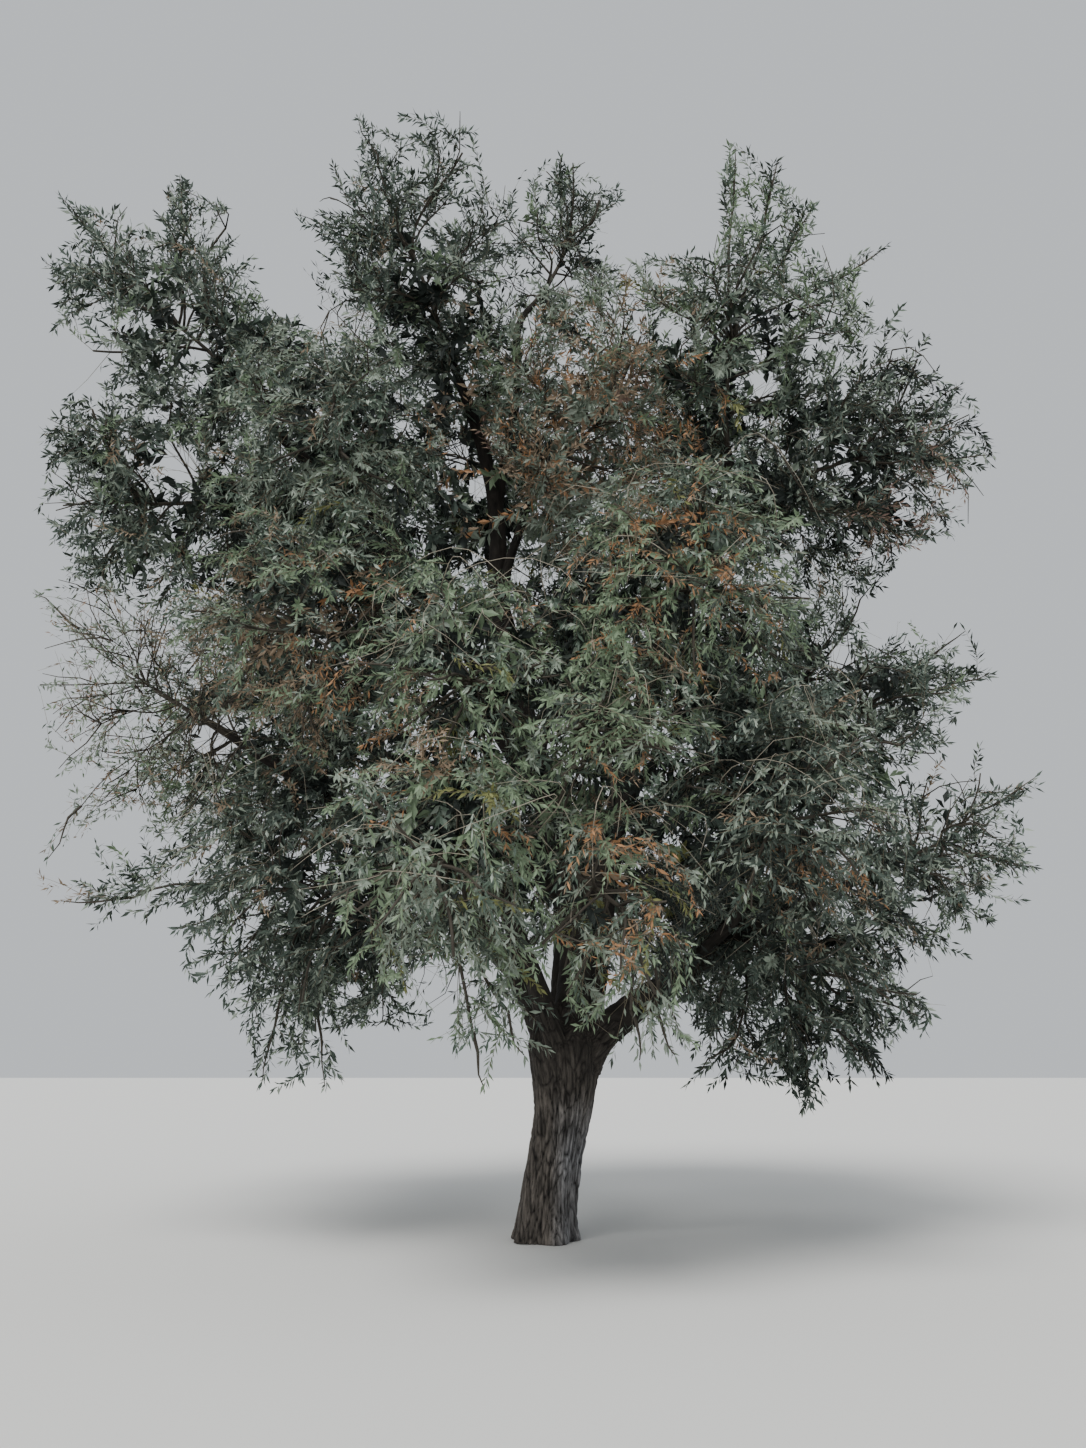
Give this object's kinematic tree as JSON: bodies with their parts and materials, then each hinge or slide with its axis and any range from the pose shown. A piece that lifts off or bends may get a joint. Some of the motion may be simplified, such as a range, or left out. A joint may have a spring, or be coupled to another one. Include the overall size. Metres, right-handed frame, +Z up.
{
  "type": "olive tree",
  "caption": "Mature olive tree with a leaning, flared trunk that forks low, crooked tapering boughs and a round open crown of separate foliage masses.",
  "frame": {"origin": "middle of the trunk's flat cut at ground level", "axes": "+Z up, -Y towards the side that a viewer sees first, +X to that viewer's right"},
  "size_m": [8.19, 7.2566, 9.72],
  "materials": {
    "bark": "dark grey-brown furrowed bark",
    "leaves": "grey-green leaves, slightly glossy above and silvery below",
    "leaves_silver": "silver-green leaves",
    "leaves_dry": "grey-green leaves with dry orange-brown sprays among them"
  },
  "bodies": {
    "root": {"bough_back_centre": "bark", "bough_back_left": "bark", "bough_back_low": "bark", "bough_back_low_left": "bark", "bough_back_low_right": "bark", "bough_back_right": "bark", "bough_back_top": "bark", "bough_back_upper_left": "bark", "bough_back_upper_right": "bark", "bough_far_right": "bark", "bough_front_centre": "bark", "bough_front_left": "bark", "bough_front_low": "bark", "bough_front_low_right": "bark", "bough_front_right": "bark", "bough_heart": "bark", "bough_left": "bark", "bough_left_front": "bark", "bough_left_thin": "bark", "bough_lower_left": "bark", "bough_lower_right": "bark", "bough_mid_left": "bark", "bough_right": "bark", "bough_right_front_low": "bark", "bough_right_low": "bark", "bough_top_centre": "bark", "bough_top_left": "bark", "bough_upper_left": "bark", "bough_upper_right": "bark", "foliage_back_centre": "leaves", "foliage_back_left": "leaves", "foliage_back_low": "leaves", "foliage_back_low_left": "leaves", "foliage_back_low_right": "leaves", "foliage_back_right": "leaves", "foliage_back_top": "leaves", "foliage_back_upper_left": "leaves", "foliage_back_upper_right": "leaves", "foliage_far_right": "leaves", "foliage_front_centre": "leaves", "foliage_front_left": "leaves", "foliage_front_low": "leaves_silver", "foliage_front_low_right": "leaves_silver", "foliage_front_right": "leaves", "foliage_heart": "leaves_dry", "foliage_left": "leaves", "foliage_left_front": "leaves", "foliage_left_thin": "leaves_dry", "foliage_lower_left": "leaves", "foliage_lower_right": "leaves", "foliage_mid_left": "leaves", "foliage_right": "leaves", "foliage_right_front_low": "leaves", "foliage_right_low": "leaves", "foliage_top_centre": "leaves", "foliage_top_left": "leaves", "foliage_upper_left": "leaves", "foliage_upper_right": "leaves", "trunk": "bark"}
  },
  "joints": []
}
